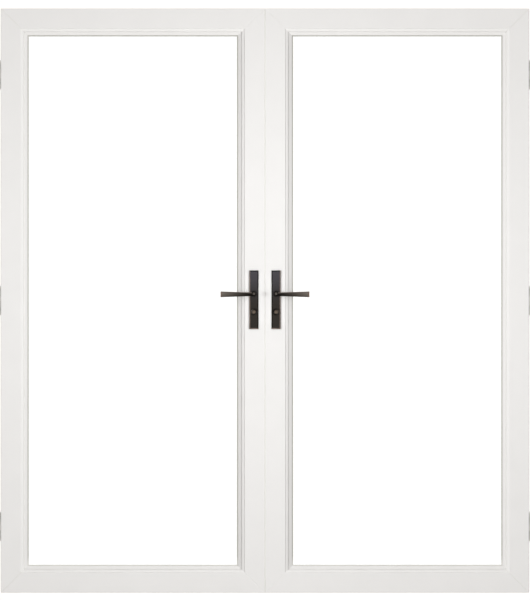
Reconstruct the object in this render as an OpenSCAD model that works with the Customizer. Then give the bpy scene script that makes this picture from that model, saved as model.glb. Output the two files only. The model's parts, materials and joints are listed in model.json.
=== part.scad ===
// French doors: two glazed plastic leaves that lap a slim rebated frame and open towards the front.
// Millimetres, +Z up, the front faces -Y, the origin is the middle of the sill's underside.

/* [Leaf] */
// Width of one leaf
leaf_w = 917; // [760:1:1100]
// Height of one leaf
leaf_h = 2032; // [1800:1:2300]
// Depth of a leaf from front to back
leaf_d = 70; // [68:1:80]
// Flat width of a stile or rail
flat_w = 68; // [66:1:78]
// Width of the flange that laps the frame
flange_w = 24; // [23:1:26]
// Thickness of that flange
flange_t = 22; // [20:1:26]
// Wall of the hollow extrusions
wall = 3; // [2.5:0.1:3.2]
// Wall beside the lock and beside the glazing
thick_wall = 6; // [5:0.5:6.5]
// Rounding of the outer front edge
edge_r = 1; // [0.5:0.5:2.5]
// Gap between the two leaves
meeting_gap = 4; // [3.5:0.5:6]
// Set-back of the meeting bar from the leaf's edge
bar_set = 1; // [0.5:0.5:2]
// Depth of the meeting seal behind the front face
meeting_seal_in = 1; // [0.5:0.5:4]
// Width of the groove that cleaning leaves along a corner weld
weld_w = 2.4; // [1.2:0.2:3]
// Depth of that groove
weld_d = 0.8; // [0.4:0.1:1]

/* [Moulding] */
// Run and drop of the first chamfer
mould_chamfer = 2.5; // [2:0.5:3]
// Width of the gently sloping band after the chamfer
mould_band = 4.5; // [3.5:0.5:6]
// Drop of that band
band_fall = 1.5; // [1:0.25:2]
// Radius of the rounded step
mould_round = 4.5; // [4:0.5:5]
// Width of the sloping band beside the glass
mould_slope = 12.5; // [10:0.5:14]
// Drop of the sloping band
mould_fall = 5; // [3:0.5:5.5]
// Width and depth of the sunk line at the foot of the rounded step
mould_quirk = 2; // [1:0.25:2.5]
// Bevel of the moulding's nose beside the glass
mould_nose = 1; // [0.5:0.25:1.5]
// Depth of the moulded nib from the front face
nib_d = 15.5; // [15.5:0.5:17]

/* [Glazing] */
// Thickness of one pane
pane_t = 6; // [4:1:8]
// Thickness of the sealed glass unit
unit_t = 28; // [24:1:30]
// Thickness of the seals on both sides of the glass
seal_t = 3; // [2:0.5:4]
// How far the seals show beyond the moulding
seal_lip = 4; // [3:0.5:6]
// Width of the seals held behind moulding and bead
seal_hold = 8; // [5:1:10]
// Height of the setting blocks
block_h = 5; // [3:0.5:7]
// Length of a setting block
block_len = 100; // [60:5:140]
// Width of the bead on the inner side
bead_w = 22; // [18:1:23]
// Depth of the bead's outer edge beside the glass
bead_nose = 8; // [5:1:12]
// Width of the bead at the leaf's back
bead_back = 5; // [3:1:10]
// Thickness of the bead's foot
foot_t = 4; // [3:0.5:5]
// Reach of the bead's foot into its groove
foot_in = 2.7; // [2:0.1:3]
// Distance of the foot from the bead's seal
foot_set = 8; // [6:0.5:9]
// Clearance round the bead's foot
foot_clear = 0.3; // [0.2:0.1:0.5]
// Width of the spacer bar between the panes
spacer_w = 8; // [6:1:10]
// Set-in of the spacer bar from the glass edge
spacer_in = 5; // [3:1:7]

/* [Frame] */
// Depth of the frame from front to back
frame_d = 90; // [84:1:110]
// Width of frame that shows beyond the leaves
reveal = 1; // [0.5:0.5:8]
// Clearance between leaf body and frame
rebate_gap = 4; // [3.5:0.5:5]
// Gap between the flange and the frame's face
lap_gap = 4; // [3.8:0.2:6]
// Gap between the leaf's back and the frame's stop
stop_gap = 6; // [4:0.5:8]
// Width of the stop beyond the rebate
stop_w = 18; // [14:1:22]
// Gap left by a seal that is not pressed
seal_clear = 0.2; // [0.2:0.1:0.5]
// Width of a frame seal
seal_w = 5; // [4:0.5:6]
// Distance of the front seal from the rebate
seal_in = 1; // [0.5:0.5:2]
// Distance of the stop's seal from the rebate
stop_seal_in = 3; // [2:0.5:6]
// Diameter of the fixing holes
fix_d = 10; // [6:0.5:12]
// Distance between the two fixing holes of a jamb
fix_span = 1500; // [1000:10:1600]

/* [Hinges] */
// Height of one hinge
hinge_h = 96; // [75:3:120]
// Diameter of the barrel
barrel_d = 16; // [14:1:16]
// Diameter of the pin
hinge_pin_d = 8; // [6:1:10]
// Running clearance of the pin on the radius
pin_clear = 0.05; // [0.03:0.01:0.1]
// Thickness of the hinge plates
hinge_plate_t = 3; // [2:0.5:3]
// Distance of the outer hinges from the leaf's ends
hinge_inset = 230; // [150:10:400]
// Distance of the hinge axis from the leaf's edge
hinge_out = 9; // [8.5:0.5:12]
// Height of the caps on the pin
hinge_cap_h = 4; // [2:0.5:8]
// Space between the barrel's pieces
barrel_gap = 0.3; // [0.2:0.1:0.5]
// Margin of the leaf's hinge plate inside the flange
hinge_margin = 3; // [2:0.5:3]
// Distance of the frame's hinge plate from the rebate
hinge_back = 8; // [7:0.5:12]

/* [Handles] */
// Height of the spindle above the leaf's lower edge
spindle_z = 1040; // [950:1:1100]
// Distance of the spindle from the leaf's edge
backset = 36.5; // [36:0.5:40]
// Width of a handle plate
plate_w = 32; // [28:1:36]
// Height of a handle plate
plate_h = 204; // [180:1:230]
// Thickness of a handle plate
plate_t = 9; // [7:0.5:12]
// Bevel of the plate's edges
plate_bevel = 3; // [1.5:0.5:4]
// Distance from the plate's middle up to the spindle
plate_drop = 21; // [15:1:25]
// Diameter of the lever's neck
neck_d = 16; // [15:0.5:18]
// Length of a lever from the spindle to its tip
lever_len = 116; // [95:1:140]
// Height of a lever beside the neck
lever_root_h = 12; // [10:0.5:15]
// Height of a lever at its tip
lever_tip_h = 20; // [15:0.5:24]
// How far a lever lies below the spindle
lever_drop = 2; // [0:0.5:3]
// Thickness of a lever
lever_t = 10; // [8:0.5:12]
// How much thinner a lever is at its tip
tip_thin = 1; // [0:0.5:2]
// How far the neck stands out of the lever
neck_proud = 1; // [0.5:0.5:2]
// Metal left in front of the spindle's socket
socket_end = 6; // [5:0.5:8]
// Space between the spindle and the socket's end
socket_gap = 2; // [1:0.5:3]
// Bevel of a lever's edges
lever_bevel = 2.5; // [1:0.5:3]
// Distance of a lever's front from the leaf's face
lever_out = 52; // [44:1:60]
// Width of the square spindle
spindle_w = 8; // [7:0.5:8]
// Clearance between a neck and its plate on the radius
neck_clear = 0.1; // [0.05:0.05:0.2]
// Distance from the spindle down to the key cylinder
cylinder_drop = 63; // [56:1:68]
// Diameter of the key cylinder
cylinder_d = 19.6; // [18:0.2:20]
// Diameter of the key cylinder's turning plug
plug_d = 13.6; // [12:0.2:14]
// How far the key cylinder stands out of the plate
cylinder_out = 2.5; // [1:0.5:4]
// Width of the key slot
slot_w = 2.2; // [1.6:0.2:3]
// Height of the key slot
slot_h = 9; // [7:0.5:10]
// Depth of the key slot
slot_d = 24; // [15:1:28]
// Width of the thumbturn's wing
wing_w = 26; // [20:1:30]
// Thickness of the thumbturn's wing
wing_t = 7; // [5:0.5:9]
// Reach of the thumbturn's wing
wing_out = 18; // [12:1:24]
// Height of the thumbturn's round foot
turn_foot = 4; // [3:0.5:6]

/* [Lock] */
// Thickness of the lock case
case_t = 16; // [14:1:18]
// Reach of the lock case above the spindle
case_up = 45; // [40:1:60]
// Reach of the lock case below the spindle
case_down = 95; // [88:1:95]
// Width of the lock's front strip
strip_w = 20; // [18:1:24]
// Thickness of the lock's front strip
strip_t = 2; // [1.5:0.5:2.5]
// Reach of the front strip beyond the lock case
strip_more = 60; // [30:5:120]
// Diameter of the shoot bolts
bolt_d = 10; // [8:0.5:10]
// Clearance between a shoot bolt and its channel
bolt_clear = 0.3; // [0.2:0.1:0.5]
// Diameter of the holes that receive the shoot bolts
keeper_hole = 12; // [11:0.5:14]
// Thickness of a keeper plate
keeper_t = 2; // [1.5:0.5:2.5]
// Depth of a keeper plate from front to back
keeper_w = 22; // [18:1:26]
// Reach of a keeper plate beyond the holes
keeper_more = 20; // [14:1:40]
// Clearance round the lock case
case_clear = 0.2; // [0.1:0.05:0.3]
// Metal in front of the joining bolts' ends and heads
bolt_cover = 3; // [2.5:0.5:4]
// Diameter of the bolts that join two handle plates
joint_bolt_d = 5; // [4:0.5:6]
// Distance of those bolts from the plate's ends
joint_bolt_in = 14; // [12:1:20]

/* [Hidden] */
$fn = 48;
eps = 0.01;
mitre_gap = 0.1;
front_y = -frame_d / 2;
leaf_y = front_y - lap_gap - flange_t;
leaf_x = -(meeting_gap / 2 + leaf_w);
frame_w = 2 * leaf_w + meeting_gap + 2 * reveal;
frame_h = leaf_h + 2 * reveal;
jamb_w = reveal + flange_w - rebate_gap;
stop_d = leaf_d - flange_t - lap_gap + stop_gap;
// Line where the moulding ends, measured from the leaf's edge
sight = flat_w + mould_chamfer + mould_band + mould_round + mould_slope;
glass_v = nib_d + seal_t;
bead_v = glass_v + unit_t + seal_t;
glass_u = flat_w + block_h;
// Axis of a hinge in the leaf's own directions
hinge_x = -hinge_out;
hinge_v = flange_t - barrel_d / 2 - hinge_margin;
hinge_zs = [hinge_inset, leaf_h / 2, leaf_h - hinge_inset];
third = hinge_h / 3;
spindle_x = leaf_w - backset;
cylinder_z = spindle_z - cylinder_drop;
plate_z = spindle_z - plate_drop;
rod_u = bar_set + (flange_w - bar_set) / 2;
rod_v = flange_t + (leaf_d - flange_t) / 2;
bar_lo = flange_w;
bar_hi = leaf_h - flange_w;
case_end = flat_w - thick_wall - wall;
case_lo = spindle_z - case_down;
case_hi = spindle_z + case_up;
// Small gap that parts a moving piece from its neighbour
neck_gap = 0.5;

// Places a leaf's pieces: X from the hinge edge, Y from the front face, Z from the lower edge
module on_left() {
  translate([leaf_x, leaf_y, reveal]) children();
}

module on_right() {
  mirror([1, 0, 0]) on_left() children();
}

// One mitred bar: the section lies in X and Y, its length runs along Z, gap shortens both ends
module mitred(len, wide, gap = 0) {
  far = 2 * wide;
  intersection() {
    linear_extrude(height = len) children();
    translate([0, 2 * frame_d, 0]) rotate([90, 0, 0]) linear_extrude(height = 3 * frame_d)
      polygon([[-wide, gap - wide], [far, far + gap], [far, len - far - gap], [-wide, len - gap + wide]]);
  }
}

// Lays a bar along X with its section's X upward
module laid() {
  mirror([1, 0, -1]) children();
}

// Cuts one rounded corner at the origin of a section
module round_corner(r) {
  difference() {
    translate([-eps, -eps]) square([r + eps, r + eps]);
    translate([r, r]) circle(r = r);
  }
}

// Straight hole along Y
module hole_y(x, z, r, from, to) {
  translate([x, from, z]) rotate([-90, 0, 0]) cylinder(r = r, h = to - from);
}

// Block between two corners
module block(lo, hi) {
  translate(lo) cube(hi - lo);
}

// Section of a stile or rail: X from the leaf's edge inward, Y from the front face
module leaf_section() {
  band_u = flat_w + mould_chamfer;
  step_u = band_u + mould_band;
  step_v = mould_chamfer + band_fall;
  slope_u = step_u + mould_round;
  slope_v = step_v + mould_round;
  difference() {
    union() {
      square([flat_w, flange_t]);
      translate([flange_w, 0]) square([flat_w - flange_w, leaf_d]);
      polygon([[flat_w - eps, 0], [flat_w, 0], [band_u, mould_chamfer], [step_u, step_v],
        [step_u, slope_v], [slope_u, slope_v], [slope_u, slope_v + mould_quirk],
        [slope_u + mould_quirk, slope_v + mould_quirk], [slope_u + mould_quirk, slope_v],
        [sight - mould_nose, slope_v + mould_fall],
        [sight, slope_v + mould_fall + mould_nose], [sight, nib_d], [flat_w - eps, nib_d]]);
      intersection() {
        translate([step_u, slope_v]) circle(r = mould_round);
        translate([step_u, step_v]) square([mould_round, mould_round]);
      }
    }
    round_corner(edge_r);
    translate([wall, wall]) square([flange_w - wall, flange_t - 2 * wall]);
    translate([flange_w + thick_wall, wall])
      square([flat_w - flange_w - 2 * thick_wall, leaf_d - 2 * wall]);
    bead_groove();
  }
}

// Groove in the glazing rebate that takes the bead's foot
module bead_groove() {
  translate([flat_w - foot_in - foot_clear, bead_v + foot_set - foot_clear])
    square([foot_in + 2 * foot_clear, foot_t + 2 * foot_clear]);
}

// Section of the inner glazing bead
module bead_section() {
  union() {
    polygon([[flat_w, bead_v], [flat_w + bead_w, bead_v], [flat_w + bead_w, bead_v + bead_nose],
      [flat_w + bead_back, leaf_d], [flat_w, leaf_d]]);
    translate([flat_w - foot_in, bead_v + foot_set]) square([foot_in + eps, foot_t]);
  }
}

// Shallow groove along the weld at both ends of a bar, on its front and back face
module weld_grooves(len) {
  for (end = [0, 1], back = [0, 1])
    translate([0, back * leaf_d, end * len]) mirror([0, 0, end]) mirror([0, back, 0])
      rotate([0, -45, 0]) translate([-flat_w, 0, 0]) rotate([90, 0, 90])
        linear_extrude(height = flat_w + (flat_w - 2 * weld_w) * sqrt(2))
          polygon([[-weld_d, weld_w], [2 * weld_d, -weld_w / 2], [-weld_d, -weld_w / 2]]);
}

// Section of the frame: X from the outer edge inward, Y from the front face
module frame_section() {
  difference() {
    union() {
      square([jamb_w, frame_d]);
      translate([0, stop_d]) square([jamb_w + stop_w, frame_d - stop_d]);
    }
    translate([wall, wall]) square([jamb_w - 2 * wall, stop_d - wall]);
    translate([wall, stop_d + wall]) square([jamb_w + stop_w - 2 * wall, frame_d - stop_d - 2 * wall]);
  }
}

module leaf_bar(len) {
  difference() {
    mitred(len, sight) leaf_section();
    weld_grooves(len);
  }
}

module frame_bar(len) {
  mitred(len, jamb_w + stop_w) frame_section();
}

// Strip with a square section, mitred, for seals and spacer bars
module strip_bar(len, u0, u1, v0, v1) {
  mitred(len, u1, mitre_gap) translate([u0, v0]) square([u1 - u0, v1 - v0]);
}

// Four strips round a leaf or round the frame
module strip_ring(wide, high, u0, u1, v0, v1) {
  strip_bar(high, u0, u1, v0, v1);
  translate([wide, 0, 0]) mirror([1, 0, 0]) strip_bar(high, u0, u1, v0, v1);
  laid() strip_bar(wide, u0, u1, v0, v1);
  translate([0, 0, high]) mirror([0, 0, 1]) laid() strip_bar(wide, u0, u1, v0, v1);
}

// Frame

module on_frame() {
  translate([-frame_w / 2, front_y, 0]) children();
}

module fixing_holes() {
  for (s = [-1, 1]) translate([-1, (stop_d + frame_d) / 2, frame_h / 2 + s * fix_span / 2])
    rotate([0, 90, 0]) cylinder(d = fix_d, h = jamb_w + stop_w + 2);
}

module frame_jamb() {
  difference() {
    frame_bar(frame_h);
    fixing_holes();
  }
}

// Both shoot bolts pass here, in the frame's own directions
module bolt_holes(z0, z1) {
  for (s = [-1, 1]) translate([frame_w / 2 + s * (meeting_gap / 2 + rod_u), leaf_y + rod_v - front_y, z0])
    cylinder(d = keeper_hole, h = z1 - z0);
}

module frame_sill_bar() {
  difference() {
    laid() frame_bar(frame_w);
    bolt_holes(jamb_w - wall - 1, jamb_w + 1);
  }
}

module frame_head() {
  color("#f2f1ef") on_frame() translate([0, 0, frame_h]) mirror([0, 0, 1]) frame_sill_bar();
}

module frame_sill() {
  color("#f2f1ef") on_frame() frame_sill_bar();
}

module frame_jamb_left() {
  color("#f2f1ef") on_frame() frame_jamb();
}

module frame_jamb_right() {
  color("#f2f1ef") mirror([1, 0, 0]) on_frame() frame_jamb();
}

// Seal strips on the frame's front face and on its stop
module frame_seals() {
  color("#8d8c88") on_frame() {
    strip_ring(frame_w, frame_h, jamb_w - seal_in - seal_w, jamb_w - seal_in, -(lap_gap - seal_clear), 0);
    strip_ring(frame_w, frame_h, jamb_w + rebate_gap + stop_seal_in,
      jamb_w + rebate_gap + stop_seal_in + seal_w, stop_d - stop_gap + seal_clear, stop_d);
  }
}

module keeper_plate() {
  half = meeting_gap / 2 + rod_u + keeper_hole / 2 + keeper_more;
  depth = leaf_y + rod_v - front_y;
  difference() {
    block([frame_w / 2 - half, depth - keeper_w / 2, jamb_w],
      [frame_w / 2 + half, depth + keeper_w / 2, jamb_w + keeper_t]);
    bolt_holes(jamb_w - 1, jamb_w + keeper_t + 1);
  }
}

module bolt_keepers() {
  color("#b9bbbd") on_frame() {
    keeper_plate();
    translate([0, 0, frame_h]) mirror([0, 0, 1]) keeper_plate();
  }
}

// Hinges

module hinge_bore(z) {
  translate([hinge_x, hinge_v, z - hinge_h]) cylinder(r = hinge_pin_d / 2 + pin_clear, h = 2 * hinge_h);
}

// Frame half of one hinge: a plate on the frame's face and the outer two barrel pieces
module hinge_frame_half(z) {
  face_v = flange_t + lap_gap;
  difference() {
    union() {
      block([hinge_x - hinge_plate_t, face_v - hinge_plate_t, z - hinge_h / 2],
        [jamb_w - reveal - hinge_back, face_v, z + hinge_h / 2]);
      for (s = [-1, 1]) translate([0, 0, z + s * third - third / 2]) {
        translate([hinge_x, hinge_v, 0]) cylinder(d = barrel_d, h = third);
        block([hinge_x - hinge_plate_t, hinge_v, 0], [hinge_x + hinge_plate_t, face_v, third]);
      }
    }
    hinge_bore(z);
    translate([hinge_x, hinge_v, z - third / 2 - barrel_gap])
      cylinder(d = barrel_d + 4 * barrel_gap, h = third + 2 * barrel_gap);
  }
}

// Leaf half of one hinge: a plate let into the flange's edge and the middle barrel piece
module hinge_leaf_half(z) {
  tall = third - 2 * barrel_gap;
  difference() {
    union() {
      block([0, hinge_margin, z - hinge_h / 2],
        [hinge_plate_t, flange_t - hinge_margin, z + hinge_h / 2]);
      translate([hinge_x, hinge_v, z - tall / 2]) cylinder(d = barrel_d, h = tall);
      block([hinge_x, hinge_v - hinge_plate_t, z - tall / 2],
        [hinge_plate_t, hinge_v + hinge_plate_t, z + tall / 2]);
    }
    hinge_bore(z);
  }
}

module hinge_pin(z) {
  translate([hinge_x, hinge_v, z - hinge_h / 2]) cylinder(d = hinge_pin_d, h = hinge_h);
  for (s = [0, 1]) translate([hinge_x, hinge_v, z]) mirror([0, 0, s]) translate([0, 0, hinge_h / 2])
    rotate_extrude() polygon([[0, 0], [barrel_d / 2, 0], [barrel_d / 2, hinge_cap_h / 2],
      [barrel_d / 3, hinge_cap_h], [0, hinge_cap_h]]);
}

module hinge_frame_plates() {
  color("#efeeec") for (z = hinge_zs) hinge_frame_half(z);
}

module hinge_leaf_plates() {
  color("#efeeec") for (z = hinge_zs) hinge_leaf_half(z);
}

module hinge_pins() {
  color("#efeeec") for (z = hinge_zs) hinge_pin(z);
}

// Leaf

module hinge_stile() {
  color("#f4f3f1") difference() {
    leaf_bar(leaf_h);
    for (z = hinge_zs) block([-1, hinge_margin, z - hinge_h / 2],
      [hinge_plate_t, flange_t - hinge_margin, z + hinge_h / 2]);
  }
}

// Holes for the spindle, the key cylinder and the plates' bolts, right through the leaf
module handle_holes(from, to) {
  hole_y(spindle_x, spindle_z, neck_d / 2 + socket_gap, from, to);
  hole_y(spindle_x, cylinder_z, cylinder_d / 2 + neck_clear, from, to);
  plate_bolt_holes(from, to, joint_bolt_d / 2 + neck_clear);
}

module plate_bolt_holes(from, to, r) {
  for (s = [-1, 1]) hole_y(spindle_x, plate_z + s * (plate_h / 2 - joint_bolt_in), r, from, to);
}

// Room for the lock case, from the meeting edge inward
module case_room() {
  block([leaf_w - case_end - case_clear, rod_v - case_t / 2 - case_clear / 2, case_lo - case_clear],
    [leaf_w + 1, rod_v + case_t / 2 + case_clear / 2, case_hi + case_clear]);
}

module meeting_stile() {
  color("#f4f3f1") difference() {
    translate([leaf_w, 0, 0]) mirror([1, 0, 0]) leaf_bar(leaf_h);
    handle_holes(-1, leaf_d + 1);
    case_room();
  }
}

module bottom_rail_bar() {
  laid() leaf_bar(leaf_w);
}

module bottom_rail() {
  color("#f4f3f1") bottom_rail_bar();
}

module top_rail() {
  color("#f4f3f1") translate([0, 0, leaf_h]) mirror([0, 0, 1]) bottom_rail_bar();
}

// Bar behind the flange of the meeting stile, with a channel for the shoot bolts
module meeting_bar() {
  channel = bolt_d + 2 * bolt_clear;
  color("#f4f3f1") difference() {
    block([leaf_w - flange_w, flange_t, bar_lo], [leaf_w - bar_set, leaf_d, bar_hi]);
    block([leaf_w - rod_u - channel / 2, rod_v - channel / 2, bar_lo - 1],
      [leaf_w - rod_u + channel / 2, rod_v + channel / 2, bar_hi + 1]);
    for (v = [flange_t + wall, rod_v + channel / 2 + wall])
      block([leaf_w - flange_w + wall, v, bar_lo - 1],
        [leaf_w - bar_set - wall, v + rod_v - channel / 2 - flange_t - 2 * wall, bar_hi + 1]);
    case_room();
    block([leaf_w - bar_set - strip_t, rod_v - strip_w / 2, case_lo - strip_more],
      [leaf_w, rod_v + strip_w / 2, case_hi + strip_more]);
  }
}

module meeting_seal() {
  color("#e4e3e0") block([leaf_w, meeting_seal_in, edge_r],
    [leaf_w + meeting_gap - seal_clear, hinge_v, leaf_h - edge_r]);
}

module bead_bar(len) {
  mitred(len, flat_w + bead_w, mitre_gap) bead_section();
}

module beads() {
  color("#f4f3f1") {
    bead_bar(leaf_h);
    translate([leaf_w, 0, 0]) mirror([1, 0, 0]) bead_bar(leaf_h);
    laid() bead_bar(leaf_w);
    translate([0, 0, leaf_h]) mirror([0, 0, 1]) laid() bead_bar(leaf_w);
  }
}

module pane(v) {
  block([glass_u, v, glass_u], [leaf_w - glass_u, v + pane_t, leaf_h - glass_u]);
}

module outer_pane() {
  color("#dfe9e6", 0.35) pane(glass_v);
}

module inner_pane() {
  color("#dfe9e6", 0.35) pane(glass_v + unit_t - pane_t);
}

module spacer() {
  color("#c4c6c7") strip_ring(leaf_w, leaf_h, glass_u + spacer_in, glass_u + spacer_in + spacer_w,
    glass_v + pane_t, glass_v + unit_t - pane_t);
}

module glazing_seals() {
  color("#bdbcb6") {
    strip_ring(leaf_w, leaf_h, sight - seal_hold, sight + seal_lip, nib_d, nib_d + seal_t);
    strip_ring(leaf_w, leaf_h, flat_w + bead_w - seal_hold, flat_w + bead_w + seal_lip,
      bead_v - seal_t, bead_v);
  }
}

module setting_blocks() {
  color("#2c2c2e") for (x = [leaf_w / 4, leaf_w * 3 / 4]) {
    block([x - block_len / 2, glass_v, flat_w], [x + block_len / 2, glass_v + unit_t, glass_u]);
    block([x - block_len / 2, glass_v, leaf_h - glass_u],
      [x + block_len / 2, glass_v + unit_t, leaf_h - flat_w]);
  }
  color("#2c2c2e") for (z = [leaf_h / 4, leaf_h * 3 / 4]) {
    block([flat_w, glass_v, z - block_len / 2], [glass_u, glass_v + unit_t, z + block_len / 2]);
    block([leaf_w - glass_u, glass_v, z - block_len / 2],
      [leaf_w - flat_w, glass_v + unit_t, z + block_len / 2]);
  }
}

// Handles

// A plate that stands on the leaf's front face, bevelled along all four edges
module plate_body() {
  b = plate_bevel;
  intersection() {
    translate([spindle_x, 0, plate_z - plate_h / 2]) linear_extrude(height = plate_h)
      polygon([[-plate_w / 2, 0], [-plate_w / 2, b - plate_t], [b - plate_w / 2, -plate_t],
        [plate_w / 2 - b, -plate_t], [plate_w / 2, b - plate_t], [plate_w / 2, 0]]);
    translate([spindle_x - plate_w / 2, 0, plate_z]) rotate([90, 0, 90]) linear_extrude(height = plate_w)
      polygon([[0, -plate_h / 2], [b - plate_t, -plate_h / 2], [-plate_t, b - plate_h / 2],
        [-plate_t, plate_h / 2 - b], [b - plate_t, plate_h / 2], [0, plate_h / 2]]);
  }
}

module plate_bores() {
  hole_y(spindle_x, spindle_z, neck_d / 2 + neck_clear, -plate_t - 1, 1);
  hole_y(spindle_x, cylinder_z, cylinder_d / 2 + neck_clear, -plate_t - 1, 1);
}

// Puts a front piece on the leaf's back instead
module on_back() {
  translate([0, leaf_d, 0]) mirror([0, 1, 0]) children();
}

// The outer plate takes the bolts' threaded ends and shows no screws
module outer_plate() {
  color("#433f40") difference() {
    plate_body();
    plate_bores();
    plate_bolt_holes(bolt_cover - plate_t, 1, joint_bolt_d / 2);
  }
}

module inner_plate() {
  color("#433f40") on_back() difference() {
    plate_body();
    plate_bores();
    plate_bolt_holes(-plate_t - 1, 1, joint_bolt_d / 2 + neck_clear);
    plate_bolt_holes(-plate_t - 1, bolt_cover - plate_t, joint_bolt_d);
  }
}

module plate_bolts() {
  color("#433f40") {
    plate_bolt_holes(bolt_cover - plate_t, leaf_d + plate_t - bolt_cover, joint_bolt_d / 2);
    plate_bolt_holes(leaf_d + plate_t - bolt_cover, leaf_d + plate_t - neck_gap,
      joint_bolt_d - neck_clear);
  }
}

module lever_slice(x, tall, back, thick) {
  b = lever_bevel;
  translate([x, back, spindle_z - lever_drop]) rotate([0, 90, 0]) linear_extrude(height = 1)
    polygon([[-tall / 2, 0], [-tall / 2, b - thick], [b - tall / 2, -thick], [tall / 2 - b, -thick],
      [tall / 2, b - thick], [tall / 2, 0]]);
}

module lever_body() {
  back = lever_t - lever_out;
  difference() {
    union() {
      hull() {
        lever_slice(spindle_x - 1, lever_root_h, back, lever_t);
        lever_slice(spindle_x - lever_len, lever_tip_h, back, lever_t - tip_thin);
      }
      hole_y(spindle_x, spindle_z, neck_d / 2, -lever_out - neck_proud, -neck_gap);
    }
    block([spindle_x - spindle_w / 2 - pin_clear, socket_end - lever_out,
      spindle_z - spindle_w / 2 - pin_clear],
      [spindle_x + spindle_w / 2 + pin_clear, 1, spindle_z + spindle_w / 2 + pin_clear]);
  }
}

module outer_lever() {
  color("#433f40") lever_body();
}

module inner_lever() {
  color("#433f40") on_back() lever_body();
}

module spindle() {
  color("#9b9da0") block([spindle_x - spindle_w / 2, socket_end + socket_gap - lever_out,
    spindle_z - spindle_w / 2], [spindle_x + spindle_w / 2, leaf_d + lever_out - socket_end - socket_gap,
    spindle_z + spindle_w / 2]);
}

// Lock

module lock_case() {
  color("#a9abad") difference() {
    union() {
      block([leaf_w - case_end, rod_v - case_t / 2, case_lo],
        [leaf_w - bar_set - strip_t + eps, rod_v + case_t / 2, case_hi]);
      block([leaf_w - bar_set - strip_t, rod_v - strip_w / 2, case_lo - strip_more],
        [leaf_w - bar_set, rod_v + strip_w / 2, case_hi + strip_more]);
    }
    hole_y(spindle_x, spindle_z, spindle_w * 0.75, 0, leaf_d);
    hole_y(spindle_x, cylinder_z, cylinder_d / 2 + neck_clear, 0, leaf_d);
  }
}

module cylinder_body() {
  color("#4a4442") difference() {
    hole_y(spindle_x, cylinder_z, cylinder_d / 2, -plate_t - cylinder_out, leaf_d + plate_t + cylinder_out);
    hole_y(spindle_x, cylinder_z, plug_d / 2 + pin_clear, -plate_t - 2 * cylinder_out,
      leaf_d + plate_t + 2 * cylinder_out);
  }
}

module cylinder_plug() {
  face = -plate_t - cylinder_out;
  color("#8a6a3e") difference() {
    hole_y(spindle_x, cylinder_z, plug_d / 2, face - neck_gap, leaf_d - face + neck_gap);
    block([spindle_x - slot_w / 2, face - 2, cylinder_z - slot_h / 2],
      [spindle_x + slot_w / 2, face + slot_d, cylinder_z + slot_h / 2]);
  }
}

// Turns the key cylinder from the inner side
module thumbturn() {
  foot = leaf_d + plate_t + cylinder_out + neck_gap;
  color("#433f40") union() {
    hole_y(spindle_x, cylinder_z, wing_w / 3, foot, foot + turn_foot);
    translate([spindle_x - wing_t / 2, foot + turn_foot - 1, cylinder_z]) rotate([90, 0, 90])
      linear_extrude(height = wing_t)
        polygon([[0, -wing_w / 4], [wing_out * 0.4, -wing_w / 2], [wing_out, -wing_w / 2],
          [wing_out, wing_w / 2], [wing_out * 0.4, wing_w / 2], [0, wing_w / 4]]);
  }
}

module rod(z0, z1) {
  translate([leaf_w - rod_u, rod_v, z0]) cylinder(d = bolt_d, h = z1 - z0);
}

module top_bolt() {
  color("#a9abad") rod(case_hi + neck_gap, bar_hi - neck_gap);
}

module bottom_bolt() {
  color("#a9abad") rod(bar_lo + neck_gap, case_lo - neck_gap);
}

frame_head();
frame_jamb_left();
frame_jamb_right();
frame_sill();
frame_seals();
bolt_keepers();
on_left() hinge_frame_plates();  // hinge_frame_plates_left
on_right() hinge_frame_plates();  // hinge_frame_plates_right
on_left() hinge_pins();  // hinge_pins_left
on_right() hinge_pins();  // hinge_pins_right
on_left() hinge_stile();  // hinge_stile_left
on_left() meeting_stile();  // meeting_stile_left
on_left() top_rail();  // top_rail_left
on_left() bottom_rail();  // bottom_rail_left
on_left() meeting_bar();  // meeting_bar_left
on_left() beads();  // beads_left
on_left() outer_pane();  // outer_pane_left
on_left() inner_pane();  // inner_pane_left
on_left() spacer();  // spacer_left
on_left() glazing_seals();  // glazing_seals_left
on_left() setting_blocks();  // setting_blocks_left
on_left() outer_plate();  // outer_plate_left
on_left() inner_plate();  // inner_plate_left
on_left() plate_bolts();  // plate_bolts_left
on_left() lock_case();  // lock_case_left
on_left() cylinder_body();  // cylinder_left
on_left() hinge_leaf_plates();  // hinge_leaf_plates_left
on_left() outer_lever();  // outer_lever_left
on_left() inner_lever();  // inner_lever_left
on_left() spindle();  // spindle_left
on_left() cylinder_plug();  // cylinder_plug_left
on_left() thumbturn();  // thumbturn_left
on_left() top_bolt();  // top_bolt_left
on_left() bottom_bolt();  // bottom_bolt_left
on_left() meeting_seal();
on_right() hinge_stile();  // hinge_stile_right
on_right() meeting_stile();  // meeting_stile_right
on_right() top_rail();  // top_rail_right
on_right() bottom_rail();  // bottom_rail_right
on_right() meeting_bar();  // meeting_bar_right
on_right() beads();  // beads_right
on_right() outer_pane();  // outer_pane_right
on_right() inner_pane();  // inner_pane_right
on_right() spacer();  // spacer_right
on_right() glazing_seals();  // glazing_seals_right
on_right() setting_blocks();  // setting_blocks_right
on_right() outer_plate();  // outer_plate_right
on_right() inner_plate();  // inner_plate_right
on_right() plate_bolts();  // plate_bolts_right
on_right() lock_case();  // lock_case_right
on_right() cylinder_body();  // cylinder_right
on_right() hinge_leaf_plates();  // hinge_leaf_plates_right
on_right() outer_lever();  // outer_lever_right
on_right() inner_lever();  // inner_lever_right
on_right() spindle();  // spindle_right
on_right() cylinder_plug();  // cylinder_plug_right
on_right() thumbturn();  // thumbturn_right
on_right() top_bolt();  // top_bolt_right
on_right() bottom_bolt();  // bottom_bolt_right
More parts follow.
